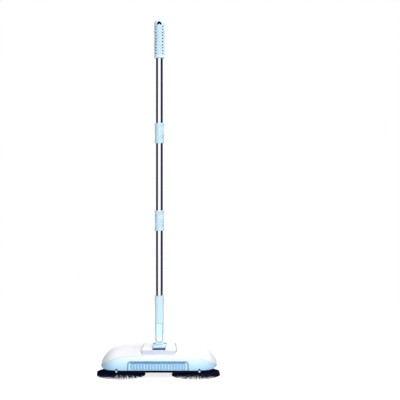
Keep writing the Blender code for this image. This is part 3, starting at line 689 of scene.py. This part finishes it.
DRAWER_LOW, DRAWER_HIGH = span("drawer_front")
DRAWER_HALF = DRAWER_HIGH[0]
DRAWER_CORNER = 8.0
DRAWER_GAP = 0.7
FACE_THICK = 3.0
FACE_Y = DRAWER_HIGH[1] - FACE_THICK
RIB_PITCH = 8.0
RIB_COUNT = 18
RIB_HALF = 2.5
NOTCH_R = 2.5


def drawer_outline(grow=0.0):
    half = DRAWER_HALF + grow
    top = DRAWER_HIGH[2] + grow
    corner = DRAWER_CORNER + grow
    right = arc((half - corner, top - corner), corner, 0.0, 90.0, 10)
    return right + arc((corner - half, top - corner), corner, 90.0, 180.0, 10)


def build_fascia():
    fascia = to_object("front_fascia_shell", shell(fascia_section, 96, 10), [LOOKS["fascia"]], 40.0)
    foot = RIM_Z - 5.0
    half = DRAWER_HALF + DRAWER_GAP
    reach = (POLE_Y - HEAD_FRONT - 10.0, POLE_Y - 60.0)
    tool = plate([drawer_outline(DRAWER_GAP) + [(-half, foot), (half, foot)]], *reach, "Y")
    for label, _ in SIDES:
        x = middle(f"hood_clip_{label}", 0)
        notch = [(x - NOTCH_R, foot), (x + NOTCH_R, foot)] + arc((x, RIM_Z + 2.0), NOTCH_R, 0.0, 180.0, 8)
        plate([notch], *reach, "Y", tool)
    # the drawer opening and clip notches are lined near-black: painted shade in the gaps
    carve(fascia, tool, [LOOKS["slot_painted_shade"]])
    add_bevel(fascia, 0.35, 2, 50.0)
    attach(fascia, "chassis", "blue_plastic", "front_fascia")


def rib_mesh(x, low, high, half, depth):
    """Half-round upright rib with domed ends, its back sunk in the drawer's face."""
    bm = bmesh.new()
    rings = []
    steps = 8
    ends = 5
    levels = [(low + half * (1 - cos(radians(18.0 * k))), sin(radians(18.0 * k))) for k in range(ends + 1)]
    levels += [(high - (z - low), size) for z, size in levels[::-1]]
    for z, size in levels:
        size = max(size, 0.08)
        ring = [bm.verts.new((x + half * size * cos(radians(180.0 * k / steps)),
                              FACE_Y - depth * size * sin(radians(180.0 * k / steps)), z))
                for k in range(steps + 1)]
        ring += [bm.verts.new((x + way * half * size, FACE_Y + 0.6, z)) for way in (-1, 1)]
        rings.append(ring)
    for first, second in zip(rings, rings[1:]):
        for k in range(len(first)):
            bm.faces.new((first[k - 1], first[k], second[k], second[k - 1]))
    bm.faces.new(rings[0])
    bm.faces.new(rings[-1])
    return bm


def build_drawer_bead():
    """Dark lip that runs up one side of the drawer, over the top and down the other side: painted shade of
    the gap round the drawer.
    """
    outer = drawer_outline(-0.2)
    inner = drawer_outline(-2.2)
    foot = DRAWER_LOW[2] + 0.3
    ring = [(outer[0][0], foot)] + outer + [(outer[-1][0], foot), (inner[-1][0], foot)] + inner[::-1]
    ring.append((inner[0][0], foot))
    strip = plate([ring], FACE_Y - 0.7, FACE_Y + 0.3, "Y")
    bead = to_object("drawer_frame_lip", strip, [LOOKS["frame_painted_shade"]])
    add_bevel(bead, 0.3, 2)
    attach(bead, "drawer", "drawer_plastic")


def build_drawer_front():
    outline = drawer_outline() + [(-DRAWER_HALF, DRAWER_LOW[2]), (DRAWER_HALF, DRAWER_LOW[2])]
    face = plate([outline], FACE_Y, FACE_Y + FACE_THICK, "Y")
    front = to_object("drawer_face", face, [LOOKS["panel_edge"]], 30.0)
    ribs_half = RIB_PITCH * RIB_COUNT / 2
    pocket = rounded(-ribs_half - 0.6, ribs_half + 0.6, DRAWER_LOW[2] + 1.2, DRAWER_HIGH[2] - 1.8, 1.6)
    # the floor and walls of the rib pocket take the darker drawer blue: painted shade in the recess
    carve(front, plate([pocket], FACE_Y - 2.0, FACE_Y + 0.9, "Y"), [LOOKS["drawer_plastic"]])
    vents = bmesh.new()
    for k in range(RIB_COUNT):
        x = (k - (RIB_COUNT - 1) / 2) * RIB_PITCH
        plate([rounded(x - RIB_HALF, x + RIB_HALF, DRAWER_HIGH[2] - 4.6, DRAWER_HIGH[2] - 2.2, 0.9)],
              FACE_Y - 2.0, FACE_Y + 2.4, "Y", vents)
    # the vent slots are lined near-black: painted shade
    carve(front, vents, [LOOKS["slot_painted_shade"]])
    add_bevel(front, 0.3, 2, 40.0)
    attach(front, "drawer", "drawer_plastic", "drawer_front")
    build_drawer_bead()
    for k in range(RIB_COUNT):
        x = (k - (RIB_COUNT - 1) / 2) * RIB_PITCH
        bm = rib_mesh(x, DRAWER_LOW[2] + 1.6, DRAWER_HIGH[2] - 5.0, RIB_HALF, 1.0)
        rib = to_object(f"drawer_rib_{k + 1:02d}", bm, [LOOKS["rib_blue"]], 60.0)
        attach(rib, "drawer", "drawer_plastic")


# --- brushes -----------------------------------------------------------------------------------
def add_filament(bm, points, root, tip):
    """Three-sided tapered hair through a few points; root and tip are radii."""
    rings = []
    last = len(points) - 1
    for k, point in enumerate(points):
        along = points[min(k + 1, last)] - points[max(k - 1, 0)]
        across = along.cross(Vector((0.0, 0.0, 1.0)))
        if across.length < 1e-6:
            across = Vector((1.0, 0.0, 0.0))
        across.normalize()
        up = across.cross(along).normalized()
        radius = root + (tip - root) * k / last
        rings.append([bm.verts.new(point + radius * (across * cos(tau * j / 3) + up * sin(tau * j / 3)))
                      for j in range(3)])
    for first, second in zip(rings, rings[1:]):
        for j in range(3):
            bm.faces.new((first[j - 1], first[j], second[j], second[j - 1]))
    bm.faces.new(rings[0])
    bm.faces.new(rings[-1])


# rows of tufts: count, spread of a tuft, root radius, tip radius, root height, tip height
TUFT_ROWS = ((80, 0.055, 28.0, 64.0, 11.4, 8.6), (72, 0.050, 27.0, 64.4, 10.0, 4.8),
             (54, 0.022, 26.0, 65.4, 8.4, 0.9))
HAIRS = 10
HAIR_RADII = (0.66, 0.30)      # at the root and at the tip
HUB_HOLES = 6
HUB_HOLE_RING = 17.5
HUB_HOLE_R = 2.4


def build_disc_brush(label, side):
    low, high = span(f"brush_bristles_{label}")
    centre = Vector(((low[0] + high[0]) / 2, (low[1] + high[1]) / 2, 0.0))
    reach = (high[0] - low[0]) / 2
    rng = random.Random(11 + side)
    bm = bmesh.new()
    for row, (count, spread, start, end, start_z, end_z) in enumerate(TUFT_ROWS):
        for tuft in range(count):
            heading = tau * (tuft + row / len(TUFT_ROWS)) / count + rng.uniform(-0.015, 0.015)
            lean = side * rng.uniform(0.02, 0.07)
            for _ in range(HAIRS):
                fan = rng.uniform(-spread, spread)
                length = min(end + rng.uniform(-2.0, 0.8), reach - 0.4)
                tip_z = max(0.35, end_z + rng.uniform(-0.9, 1.6))
                points = []
                for step in range(4):
                    share = step / 3
                    radius = start + (length - start) * share
                    angle = heading + (fan + lean) * share ** 1.4
                    z = start_z + (tip_z - start_z) * share ** 1.7
                    points.append(centre + Vector((radius * cos(angle), radius * sin(angle), z)))
                add_filament(bm, points, *HAIR_RADII)
    tufts = to_object(f"brush_tufts_{label}", bm, [LOOKS["bristle"]], 60.0)
    attach(tufts, f"brush_{label}", "bristle", f"brush_bristles_{label}")


def build_brush_hub(label):
    low, high = span(f"brush_hub_{label}")
    centre = ((low[0] + high[0]) / 2, (low[1] + high[1]) / 2)
    bottom, top = low[2], high[2]
    radius = (high[0] - low[0]) / 2
    profile = [(SPINDLE_BORE, bottom + 0.6), (8.0, bottom), (11.0, bottom), (12.0, bottom + 1.6),
               (radius - 7.0, bottom + 1.6), (radius - 5.5, bottom), (radius - 0.8, bottom),
               (radius, bottom + 0.8), (radius, top - 1.4), (radius - 1.4, top), (radius - 9.0, top),
               (radius - 10.0, top - 0.8), (9.0, top - 0.8), (8.0, top), (SPINDLE_BORE, top)]
    hub = to_object(f"brush_disc_{label}", lathe(profile, centre=centre), [LOOKS["black_plastic"]], 30.0)
    holes = bmesh.new()
    for spot in circle(HUB_HOLE_RING, centre, HUB_HOLES):
        plate([circle(HUB_HOLE_R, spot, 20)], bottom - 2.0, top + 2.0, bm=holes)
    carve(hub, holes, [LOOKS["black_plastic"]])
    add_bevel(hub, 0.25, 2, 40.0)
    attach(hub, f"brush_{label}", "black_plastic", f"brush_hub_{label}")


ROLLER_ROWS = 6
ROLLER_TUFTS = 22
ROLLER_HAIRS = 8
ROLLER_ROOT = 5.6
ROLLER_TWIST = 1.6
ROLLER_HAIR_RADII = (0.5, 0.25)


def build_roller_brush():
    low, high = span("roller_bristles")
    centre_y, centre_z = (low[1] + high[1]) / 2, (low[2] + high[2]) / 2
    reach = (high[2] - low[2]) / 2
    rng = random.Random(7)
    bm = bmesh.new()
    for row in range(ROLLER_ROWS):
        for tuft in range(ROLLER_TUFTS):
            share = (tuft + 0.5) / ROLLER_TUFTS
            x = low[0] + (high[0] - low[0]) * share
            heading = tau * row / ROLLER_ROWS + ROLLER_TWIST * share
            for _ in range(ROLLER_HAIRS):
                angle = heading + rng.uniform(-0.05, 0.05)
                drift = rng.uniform(-1.6, 1.6)
                length = reach - rng.uniform(0.2, 1.6)
                points = []
                for step in range(3):
                    radius = ROLLER_ROOT + (length - ROLLER_ROOT) * step / 2
                    spread = angle + rng.uniform(-0.02, 0.05) * step
                    shift = min(max(x + drift * step / 2, low[0] + 0.4), high[0] - 0.4)
                    points.append(Vector((shift, centre_y + radius * cos(spread),
                                          centre_z + radius * sin(spread))))
                add_filament(bm, points, *ROLLER_HAIR_RADII)
    tufts = to_object("roller_tufts", bm, [LOOKS["bristle"]], 60.0)
    attach(tufts, "roller", "bristle", "roller_bristles")


# --- wheels ------------------------------------------------------------------------------------
TYRE_BORE = 14.3
TREAD_GROOVES = 4
HUB_POCKETS = 5
POCKET_RING = 8.9
POCKET_R = 2.1


def build_wheel(label, side):
    low, high = span(f"tyre_{label}")
    centre = ((low[1] + high[1]) / 2, (low[2] + high[2]) / 2)
    radius = (high[2] - low[2]) / 2
    inner, outer = low[0], high[0]
    profile = [(TYRE_BORE, inner), (radius - 1.4, inner), (radius - 0.3, inner + 0.7), (radius, inner + 1.8)]
    for k in range(TREAD_GROOVES):
        groove = inner + 3.2 + k * (outer - inner - 6.4) / (TREAD_GROOVES - 1)
        profile += [(radius, groove - 0.5), (radius - 0.8, groove - 0.25), (radius - 0.8, groove + 0.25),
                    (radius, groove + 0.5)]
    profile += [(radius, outer - 1.8), (radius - 0.3, outer - 0.7), (radius - 1.4, outer), (TYRE_BORE, outer)]
    tyre = to_object(f"tyre_tread_{label}", lathe(profile, "X", centre), [LOOKS["rubber"]], 40.0)
    attach(tyre, "axle", "rubber", f"tyre_{label}")
    low, high = span(f"wheel_hub_{label}")
    hub_r = (high[2] - low[2]) / 2
    faces = (high[0], low[0]) if side > 0 else (low[0], high[0])
    out, back = faces
    inward = -side
    profile = [(AXLE_BORE, back), (hub_r, back), (hub_r, out), (hub_r - 1.6, out),
               (hub_r - 2.2, out + inward * 3.0), (6.0, out + inward * 3.0), (5.4, out), (AXLE_BORE, out)]
    hub = to_object(f"wheel_disc_{label}", lathe(profile, "X", centre), [LOOKS["gear_plastic"]], 30.0)
    pockets = bmesh.new()
    ends = sorted((out + inward * 2.0, out + inward * 9.0))
    for spot in circle(POCKET_RING, centre, HUB_POCKETS):
        plate([circle(POCKET_R, spot, 20)], *ends, "X", pockets)
    carve(hub, pockets, [LOOKS["gear_plastic"]])
    add_bevel(hub, 0.25, 2, 40.0)
    attach(hub, "axle", "gear_plastic", f"wheel_hub_{label}")


# --- grip ----------------------------------------------------------------------------------------
GRIP_SIDES = 144
GRIP_RADIUS = 14.15
GRIP_BORE_TOP = 930.0
GROOVE_PITCH = 8.3
GROOVES_ROUND = 8
GROOVE_DEPTH = 0.7
DIMPLE_DEPTH = 1.1


def grip_cut(angle, z):
    """Depth shares at one spot of the grip: crossing grooves, and dimples where every second pair meets."""
    columns = GROOVES_ROUND * angle / tau
    rows = z / GROOVE_PITCH
    grooves = 0.0
    for phase in (columns + rows, columns - rows):
        away = abs(phase - round(phase))
        grooves = max(grooves, exp(-(away / 0.12) ** 2))
    nearest = 2.0 * round((columns - 1.0) / 2.0) + 1.0
    across = (columns - nearest) / 0.30
    along = (rows - round(rows)) / 0.29
    return grooves, exp(-(across ** 2 + along ** 2))


def build_grip():
    low, high = span("handle_grip")
    bottom, top = low[2], high[2]
    bm = bmesh.new()
    rings = []
    groove_shade_mask = []
    dimple_shade_mask = []
    flat = 6.2
    dome = 9.0
    levels = [(bottom, 13.9), (bottom + 0.5, 14.7), (bottom + 1.4, 15.0), (bottom + 2.6, 14.8),
              (bottom + 4.0, 14.3), (bottom + 5.0, GRIP_RADIUS)]
    body_low, body_high = bottom + 5.6, top - dome
    steps = 150
    levels += [(body_low + (body_high - body_low) * k / steps, None) for k in range(steps + 1)]
    levels += [(body_high + dome * sin(radians(7.5 * k)), flat + (GRIP_RADIUS - flat) * cos(radians(7.5 * k)))
               for k in range(1, 13)]
    for z, fixed in levels:
        ring = []
        for k in range(GRIP_SIDES):
            angle = tau * k / GRIP_SIDES
            groove, dimple = (0.0, 0.0) if fixed else grip_cut(angle, z)
            fade = min(1.0, max(0.0, (z - bottom - 7.0) / 3.0), max(0.0, (top - 15.0 - z) / 3.0))
            r = (fixed or GRIP_RADIUS) - fade * (GROOVE_DEPTH * groove + DIMPLE_DEPTH * dimple)
            ring.append(bm.verts.new((r * cos(angle), POLE_Y + r * sin(angle), z)))
            groove_shade_mask.append(groove * fade)
            dimple_shade_mask.append(dimple * fade)
        rings.append(ring)
    for z in (GRIP_BORE_TOP, bottom):
        rings.append([bm.verts.new((x, y, z)) for x, y in circle(TUBE_BORE, (0.0, POLE_Y), GRIP_SIDES)])
    outer, inner = rings[:-2], rings[-2:]
    for first, second in list(zip(outer, outer[1:])) + [(inner[1], inner[0]), (outer[0], inner[1])]:
        for k in range(GRIP_SIDES):
            bm.faces.new((first[k - 1], first[k], second[k], second[k - 1]))
    bm.faces.new(outer[-1])
    bm.faces.new(inner[0])
    bm.verts.index_update()
    # faces deep in a dimple or groove take darker blues: painted shade in the hollows
    for face in bm.faces:
        spots = [vert.index for vert in face.verts if vert.index < len(groove_shade_mask)]
        if len(spots) == 4 and sum(dimple_shade_mask[k] for k in spots) > 1.6:
            face.material_index = 2
        elif len(spots) == 4 and sum(groove_shade_mask[k] for k in spots) > 2.4:
            face.material_index = 1
    looks = [LOOKS["grip_blue"], LOOKS["groove_painted_shade"], LOOKS["dimple_painted_shade"]]
    grip = to_object("grip_moulding", bm, looks, 50.0)
    right = [(0.0, top - 11.8), (6.2, top - 15.4), (6.2, top - 9.2), (2.2, top - 5.2)]
    arch = right + [(-x, z) for x, z in right[:0:-1]]
    # the hanging hole is lined black: painted shade inside the hole
    carve(grip, plate([arch], POLE_Y - 20.0, POLE_Y + 4.0, "Y"), [LOOKS["hole_painted_shade"]])
    attach(grip, "pole", "blue_plastic", "handle_grip")


# --- everything ----------------------------------------------------------------------------------
def main():
    build_room()
    build_mechanism()
    build_pole()
    build_cover()
    build_fascia()
    build_drawer_front()
    for label, side in SIDES:
        build_disc_brush(label, side)
        build_brush_hub(label)
        build_wheel(label, side)
    build_roller_brush()
    build_grip()


main()
